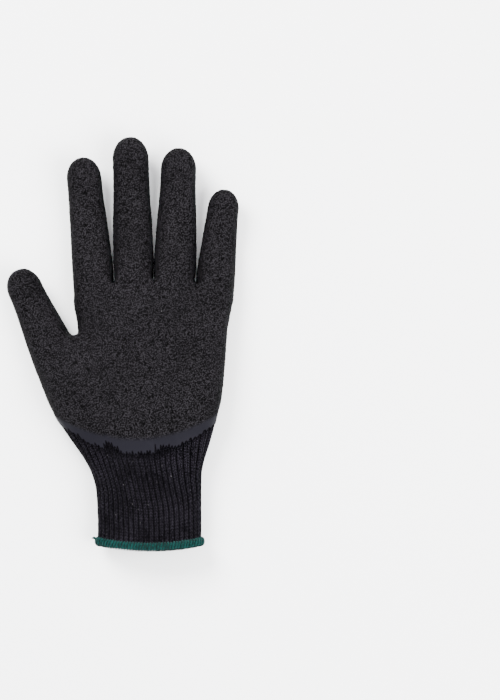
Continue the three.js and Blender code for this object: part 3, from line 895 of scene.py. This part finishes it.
latex_outer = latex_skin(LATEX_FINE, latex_bend)
points, normals = points_and_normals(latex_outer)
from_rim = distance_to_edge(latex_outer)
wrinkled = np.minimum(smooth((from_rim - 1.2) / 4), smooth((up_hand(latex_outer) - EDGE_START - 5.4) / 4))
wrinkled = wrinkled * smooth((normals[:, 2] + 0.45) / 0.5)
thickness = mix(0.3, LATEX, smooth(from_rim / 6))
write_numbers(latex_outer, "wrinkled", wrinkled)
write_numbers(latex_outer, "facing_up", normals[:, 2])
creases = crinkle(points)
raise_skin(latex_outer, SEAT_GAP + thickness - 0.15 + CREASE_DEEP * wrinkled * creases)
write_numbers(latex_outer, "crease", creases)
latex_inner = latex_skin(3, tucked_bend)
raise_skin(latex_inner, np.full(len(latex_inner.vertices), SEAT_GAP - 0.05))
latex_coating = closed_wall("latex_dip", latex_outer, latex_inner)

# %% [markdown]
# ## The overlocked hem
#
# An overlock machine wraps bulky yarn round the cut rim in slanting loops. It is made as a padded ring
# that straddles the rim, and one long thread that winds round it. The thread is pulled thin where it bends
# round the lower edge, so that the ring shows between the loops there; its near-black colour is painted
# shade.

# %% The padded ring under the loops
hem_in, hem_out = -KNIT_WALL - SEAT_GAP - HEM_WALL, RIM
HEM_SQUARE = 0.75  # 1 would make the section of the hem an ellipse, and less makes it squarer


def rim_frame(column):
    """The rim's place, its way up and its way out, at each column."""
    column = column % (2 * FRONT)
    place = read_table("hand", column, np.full_like(column, RIM))
    up = unit(read_table("hand", column, np.full_like(column, RIM + HEM_HIGH)) - place)
    after, before = (read_table("hand", column + step, np.full_like(column, RIM)) for step in (0.5, -0.5))
    return place, up, unit(np.cross(after - before, up))


def hem_place(column, angle, swell):
    """A place on a rounded section round the rim. The angle is 0 outside and a quarter turn at the top."""
    place, up, out = rim_frame(column)
    middle, half = (hem_in + hem_out) / 2, (hem_out - hem_in) / 2
    tall = (HEM_HIGH + hem_out) / 2
    across, along = squarer(np.cos(angle), HEM_SQUARE), squarer(np.sin(angle), HEM_SQUARE)
    return (place + out * (middle + (half - swell) * across)[:, None]
            + up * ((HEM_HIGH - hem_out) / 2 + (tall - swell) * along)[:, None])


def tube_from_grid(name, turns, sides, place_at):
    """A grid rolled to a closed ring: place_at gets shares of the way along and round."""
    mesh, shares = flat_grid(name, turns, sides)
    lay_out(mesh, place_at(*shares.T), shares)
    bm = bmesh.new()
    bm.from_mesh(mesh)
    bmesh.ops.remove_doubles(bm, verts=bm.verts, dist=MERGED)
    bmesh.ops.recalc_face_normals(bm, faces=bm.faces)
    for face in bm.faces:
        face.smooth = True
    bm.to_mesh(mesh)
    bm.free()
    return add_piece(name, mesh)


overlock_core = tube_from_grid("overlock_core", 288, 20, lambda along, round_: hem_place(
    along * 2 * FRONT, 2 * np.pi * round_, 0.8))

# %% The looping thread
LOOPS, STEPS_PER_LOOP = 84, 22
THREAD_WIDE, PULLED_THIN, THREAD_DEEP = 0.8, 0.4, 0.6  # half widths in millimetres, and what the pull takes
LOWEST = 0.75  # the share of a loop at which it passes under the lower edge
loop_luck = np.random.default_rng(3).random(LOOPS + 1)


def thread_centre(share):
    turn = share * LOOPS
    n = np.floor(turn).astype(int) % LOOPS
    slack = mix(loop_luck[n], loop_luck[(n + 1) % LOOPS], smooth(turn % 1.0))
    column = share * 2 * FRONT + 0.22 * np.sin(2 * np.pi * turn + 0.6)
    return hem_place(column, 2 * np.pi * turn, 0.6 - 0.3 * slack)


def thread_place(along, round_):
    small = 1e-4 / LOOPS
    centre = thread_centre(along)
    ahead = unit(thread_centre(along + small) - thread_centre(along - small))
    side = unit(np.cross(ahead, centre - rim_frame(along * 2 * FRONT)[0]))
    over = np.cross(side, ahead)
    angle = (2 * np.pi * round_)[:, None]
    pulled = smooth(1.3 - np.abs(along * LOOPS % 1.0 - LOWEST) / 0.15)
    wide = (THREAD_WIDE - PULLED_THIN * pulled)[:, None]
    place = centre + side * np.cos(angle) * wide + over * np.sin(angle) * THREAD_DEEP
    place[:, 2] = np.maximum(place[:, 2], 0.02)
    return place


overlock_thread = tube_from_grid("overlock_thread", LOOPS * STEPS_PER_LOOP, 6, thread_place)

# %% [markdown]
# The overlock yarn is cut off with a short end, which sticks out at the thumb's corner of the hem. It is a
# tube that narrows to a point at both ends, so that the merge of its doubles closes it.

# %% The cut end of the thread
TAIL = np.array([-3.0, 0.6, -0.8])


def tail_place(along, round_):
    start = hem_place(np.zeros_like(along), np.full_like(along, 0.5), 0.9)
    curve = np.column_stack([0 * along, 0.7 * np.sin(np.pi * along), -1.6 * along ** 2])
    radius = 1.0 * np.sqrt(np.clip(1 - (2 * along - 1) ** 2, 0.0, 1.0)) * mix(1.0, 0.6, along)
    ahead = unit(TAIL)
    side = unit(np.cross(ahead, [0.0, 0.0, 1.0]))
    angle = 2 * np.pi * round_[:, None]
    ring = side * np.cos(angle) + np.cross(side, ahead) * np.sin(angle)
    return start + along[:, None] * TAIL + curve + radius[:, None] * ring


overlock_end = tube_from_grid("overlock_end", 16, 10, tail_place)

# %% [markdown]
# ## Finishes
#
# The finishes are procedural. What more than one of them uses is a node group: the fine fibres of yarn,
# and the lint and dust that black cloth always shows. The V of each stitch is worked out from the UV map,
# which counts wales and courses, so it follows the knitting over every curve.

# %% Helpers for nodes
def new_material(name, roughness, specular, sheen=0.0, sheen_roughness=0.5):
    """A material with one Principled shader, whose constant values sit on the shader's own sockets."""
    material = bpy.data.materials.new(name)
    material.use_nodes = True
    nodes = material.node_tree.nodes
    shader = nodes["Principled BSDF"]
    shader.inputs["Roughness"].default_value = roughness
    shader.inputs["Specular IOR Level"].default_value = specular
    shader.inputs["Sheen Weight"].default_value = sheen
    shader.inputs["Sheen Roughness"].default_value = sheen_roughness
    return material, material.node_tree, shader


def new_node(tree, kind, inputs, **settings):
    """Adds a node. Each of its inputs is fed by another node, or set to a value."""
    node = tree.nodes.new("ShaderNode" + kind)
    for setting, value in settings.items():
        setattr(node, setting, value)
    for socket, value in inputs.items():
        if isinstance(value, bpy.types.NodeSocket):
            tree.links.new(value, node.inputs[socket])
        else:
            node.inputs[socket].default_value = value
    return node.outputs


def maths(tree, operation, *values):
    return new_node(tree, "Math", dict(enumerate(values)), operation=operation)[0]


def times(tree, product, *others):
    for other in others:
        product = maths(tree, "MULTIPLY", product, other)
    return product


def remap(tree, value, low, high, to_low=0.0, to_high=1.0):
    return new_node(tree, "MapRange", dict(enumerate((value, low, high, to_low, to_high))))[0]


def blend(tree, share, low, high):
    """A colour between two colours."""
    return new_node(tree, "Mix", {0: share, 6: low, 7: high}, data_type="RGBA")[2]


def noise_at(tree, vector, scale, detail=2.0, roughness=0.5):
    inputs = {"Vector": vector, "Scale": scale, "Detail": detail, "Roughness": roughness}
    return new_node(tree, "TexNoise", inputs)["Fac"]


def object_place(tree):
    return new_node(tree, "TexCoord", {})["Object"]


def attribute(tree, name):
    return new_node(tree, "Attribute", {}, attribute_name=name)["Fac"]


def bump(tree, height, strength, distance):
    return new_node(tree, "Bump", {"Height": height, "Strength": strength, "Distance": distance})[0]


# %% A group for fibres, and one for lint
def new_group(name, inputs, outputs):
    """A node group. Each input has a starting value, or None where it is a vector."""
    group = bpy.data.node_groups.new(name, "ShaderNodeTree")
    for label, given in inputs:
        kind = "NodeSocketVector" if given is None else "NodeSocketFloat"
        socket = group.interface.new_socket(label, in_out="INPUT", socket_type=kind)
        if given is not None:
            socket.default_value = given
    for label in outputs:
        group.interface.new_socket(label, in_out="OUTPUT", socket_type="NodeSocketFloat")
    return group, group.nodes.new("NodeGroupInput").outputs, group.nodes.new("NodeGroupOutput").inputs


def use_group(tree, group, **values):
    return new_node(tree, "Group", values, node_tree=group)


fibres, given, result = new_group("yarn_fibres", (("Place", None), ("Fine", 1500.0), ("Patches", 0.2)),
                                  ("Height", "Tone"))
fine = noise_at(fibres, given["Place"], given["Fine"], 3.0, 0.65)
broad = maths(fibres, "SUBTRACT", noise_at(fibres, given["Place"], 55.0), 0.5)
patchy = maths(fibres, "MULTIPLY_ADD", broad, given["Patches"], fine)
fibres.links.new(fine, result["Height"])
fibres.links.new(remap(fibres, patchy, 0.35, 0.65), result["Tone"])

lint, given, result = new_group("lint_and_dust", (("Place", None), ("Amount", 0.5)), ("Mask",))
speck = new_node(lint, "TexVoronoi", {"Vector": given["Place"], "Scale": 210.0})
luck = new_node(lint, "SeparateColor", {0: speck["Color"]})[0]
chosen = maths(lint, "GREATER_THAN", given["Amount"], times(lint, luck, 12.0))
lint.links.new(times(lint, chosen, remap(lint, speck["Distance"], 0.1, 0.05)), result["Mask"])
print("groups:", [group.name for group in (fibres, lint)])

# %% [markdown]
# ## Knitting yarn
#
# Black cotton and polyester yarn drinks the light: only a grey fuzz of loose fibre shows where the surface
# turns away, which Sheen gives. Each stitch is two legs, and painted shade darkens the gaps between them. The
# attribute "ribbed" lets painted shade make the gaps between ribs darker still, and "soaked" darkens the yarn
# that has drawn in latex below its edge.

# %% The knitting's material
def saw(tree, value):
    """The share of the way from the middle of each whole step to its edge: 0 in the middle, 1 at the edge."""
    from_middle = maths(tree, "SUBTRACT", maths(tree, "FRACT", value), 0.5)
    return times(tree, maths(tree, "ABSOLUTE", from_middle), 2.0)


def stitch_map(tree):
    """The UV map: column and course on the knitting, and the shares along and round on a thread."""
    return new_node(tree, "SeparateXYZ", {0: new_node(tree, "UVMap", {}, uv_map="stitches")[0]})


def saw_across(tree, wales):
    """0 in the middle of each wale and 1 at its edges. wales is how many there are to a column."""
    return saw(tree, times(tree, stitch_map(tree)[0], wales))


def stitch_legs(tree, wales):
    """Height of V stitches, from the UV map."""
    across = saw_across(tree, wales)
    leg = maths(tree, "SINE", times(tree, across, math.pi))
    climb = maths(tree, "SUBTRACT", stitch_map(tree)[1], times(tree, across, 0.8))
    wave = maths(tree, "COSINE", times(tree, climb, 2 * math.pi))
    return times(tree, leg, maths(tree, "MULTIPLY_ADD", wave, 0.5, 0.5))


knit_material, tree, shader = new_material("black_knit", 0.9, 0.01, 0.008, 0.3)
place = object_place(tree)
yarn = use_group(tree, fibres, Place=place)
legs = maths(tree, "MULTIPLY_ADD", stitch_legs(tree, 2.0), 0.8, times(tree, yarn["Height"], 0.6))
# Painted shade: the colour darkens in the gaps between the wales and, where the cuff is ribbed, between the
# ribs.
shade_between_ribs = times(tree, saw_across(tree, 1.0), attribute(tree, "ribbed"))
painted_shade_in_gaps = times(tree, remap(tree, saw_across(tree, 2.0), 0.5, 0.95, 1.0, 0.2),
                      remap(tree, shade_between_ribs, 0.3, 0.95, 1.0, 0.25))
# Painted shade also darkens the colour where the stitch sinks between its legs. The yarn's own tone varies at
# random, and yarn soaked with latex is darker.
tone = times(tree, remap(tree, legs, 0.2, 0.85), remap(tree, yarn["Tone"], 0.15, 0.9, 0, 1.3),
             painted_shade_in_gaps, remap(tree, attribute(tree, "soaked"), 0, 1, 1.0, 0.3))
black = blend(tree, tone, (0.0001, 0.0001, 0.0002, 1), (0.0182, 0.0160, 0.0214, 1))
specks = use_group(tree, lint, Place=place, Amount=5.0)["Mask"]
tree.links.new(blend(tree, specks, black, (0.05, 0.048, 0.05, 1)), shader.inputs["Base Color"])
tree.links.new(bump(tree, legs, 0.9, 0.0006), shader.inputs["Normal"])

# %% [markdown]
# ## Latex
#
# The crinkle finish comes from a solvent that swells the skin while it is wet. Where it stays thin, along
# the edge, the latex stays smooth, and its colour is a little lighter and bluer: partly its own colour and
# partly painted sheen. The attributes "wrinkled", "facing_up" and "crease" were written when the skin was
# made, so that colour, gloss and shape agree. Painted shade darkens the colour in the hollows of the grain,
# in the creases, and on the sides of the fingers, which slope away from the light above.

# %% The latex's material
latex_material, tree, shader = new_material("black_latex", 0.6, 0.018)
place = object_place(tree)
wrinkled = attribute(tree, "wrinkled")
crease = remap(tree, attribute(tree, "crease"), -0.45, 0.45)
cloudy = noise_at(tree, place, 38.0, 3.0)
grain = noise_at(tree, place, 1500.0, 1.0, 0.5)
# Painted shade: the colour darkens in the hollows of the fine grain, which also makes the bump, and in the
# creases of the crinkle.
uneven = maths(tree, "MULTIPLY_ADD", grain, 3.0, times(tree, crease, 0.3))
# Painted shade also darkens the sides that slope away from the top. The cloudy noise is the latex's own
# uneven tone.
shade = times(tree, remap(tree, uneven, 1.58, 1.86), remap(tree, cloudy, 0.3, 0.7, 0.8, 1.1),
              remap(tree, attribute(tree, "facing_up"), 0.0, 0.85, 0.45, 1.0))
rough_black = blend(tree, shade, (0, 0, 0, 1), (0.0106, 0.0097, 0.0112, 1))
# The smooth band along the edge is a little lighter and bluer: partly the thin latex's own colour, partly
# painted sheen.
smooth_black_and_sheen = blend(tree, cloudy, (0.0046, 0.0044, 0.0062, 1), (0.0064, 0.0061, 0.0084, 1))
coloured = blend(tree, wrinkled, smooth_black_and_sheen, rough_black)
dust = use_group(tree, lint, Place=place, Amount=0.4)["Mask"]
tree.links.new(blend(tree, dust, coloured, (0.045, 0.044, 0.045, 1)), shader.inputs["Base Color"])
tree.links.new(remap(tree, wrinkled, 0, 1, 0.5, 0.68), shader.inputs["Roughness"])
ripple = times(tree, grain, remap(tree, wrinkled, 0, 1, 0.08, 1.0))
tree.links.new(bump(tree, ripple, 0.75, 0.0006), shader.inputs["Normal"])

# %% [markdown]
# ## Overlock yarn
#
# The hem's yarn is a loose, fluffy green thread. It is darker in worn streaks, and painted shade darkens it
# where each loop turns under the lower edge. The padded ring below it is nearly black: painted shade between
# the loops, with the black knitting that shows there, so the gaps between the loops look deep.

# %% The hem's material
def green_yarn(name, dark, light, streaks, loops=0):
    material, tree, shader = new_material(name, 0.85, 0.05, 0.03, 0.5)
    place = object_place(tree)
    yarn = use_group(tree, fibres, Place=place, Fine=1900.0, Patches=0.15)
    worn = remap(tree, noise_at(tree, place, 700.0, 2.0), 0.38, 0.6)
    tone = times(tree, yarn["Tone"], remap(tree, worn, 0, 1, 1 - streaks, 1.0))
    if loops:  # darker where each loop turns under the lower edge
        # Painted shade: the thread darkens where each loop turns under the lower edge.
        turn = maths(tree, "FRACT", times(tree, stitch_map(tree)[0], loops))
        under = maths(tree, "ABSOLUTE", maths(tree, "SUBTRACT", turn, 0.76))
        tone = times(tree, tone, remap(tree, under, 0.05, 0.13))
    tree.links.new(blend(tree, tone, dark, light), shader.inputs["Base Color"])
    tree.links.new(bump(tree, yarn["Height"], 0.8, 0.0004), shader.inputs["Normal"])
    return material


thread_green = (0.0002, 0.003, 0.0025, 1), (0.0008, 0.035, 0.031, 1)
thread_material = green_yarn("green_thread", *thread_green, 0.6, LOOPS)
# The core's near-black green is painted shade between the loops, with the black knitting that shows there.
core_shade_material = green_yarn("green_core_shade", (0.0001, 0.0003, 0.0003, 1), (0.0004, 0.004, 0.0035, 1), 0.9)

# %% [markdown]
# ## Light and table
#
# The photograph was lit by large soft boxes over a white table, so its shadows are faint. A bright, even
# world does most of that, and two large round lights add the soft highlights on the fingers.

# %% Light and table
world = bpy.data.worlds.new("studio")
world.use_nodes = True
world.node_tree.nodes["Background"].inputs["Color"].default_value = (0.97, 0.98, 1.0, 1)
world.node_tree.nodes["Background"].inputs["Strength"].default_value = 2.8
bpy.context.scene.world = world


def soft_light(name, place, size, power):
    light = add_object(name, bpy.data.lights.new(name, "AREA"))
    light.data.shape = "DISK"
    light.data.size = size
    light.data.energy = power
    light.location = place
    light.rotation_euler = (-Vector(place)).to_track_quat("-Z", "Y").to_euler()


soft_light("key", (-0.7, 0.9, 1.2), 0.9, 92)
soft_light("fill", (0.9, -0.3, 1.1), 1.2, 55)

table_top = add_object("table_top", flat_grid("table_top", 1, 1, size=4.0)[0])

table_material, tree, shader = new_material("white_table", 0.7, 0.3)
shader.inputs["Base Color"].default_value = (0.95, 0.95, 0.95, 1)
table_top.data.materials.append(table_material)

for piece, material, node, slot in (
    (knitted_cuff, knit_material, "knit_liner", "knit_yarn"),
    (knitted_hand, knit_material, "knit_liner", "knit_yarn"),
    (latex_coating, latex_material, "latex_coating", "latex"),
    (overlock_core, core_shade_material, "cuff_hem", "overlock_yarn"),
    (overlock_thread, thread_material, "cuff_hem", "overlock_yarn"),
    (overlock_end, thread_material, "cuff_hem", "overlock_yarn"),
):
    piece.data.materials.append(material)
    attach(piece, "root")
    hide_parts(node)
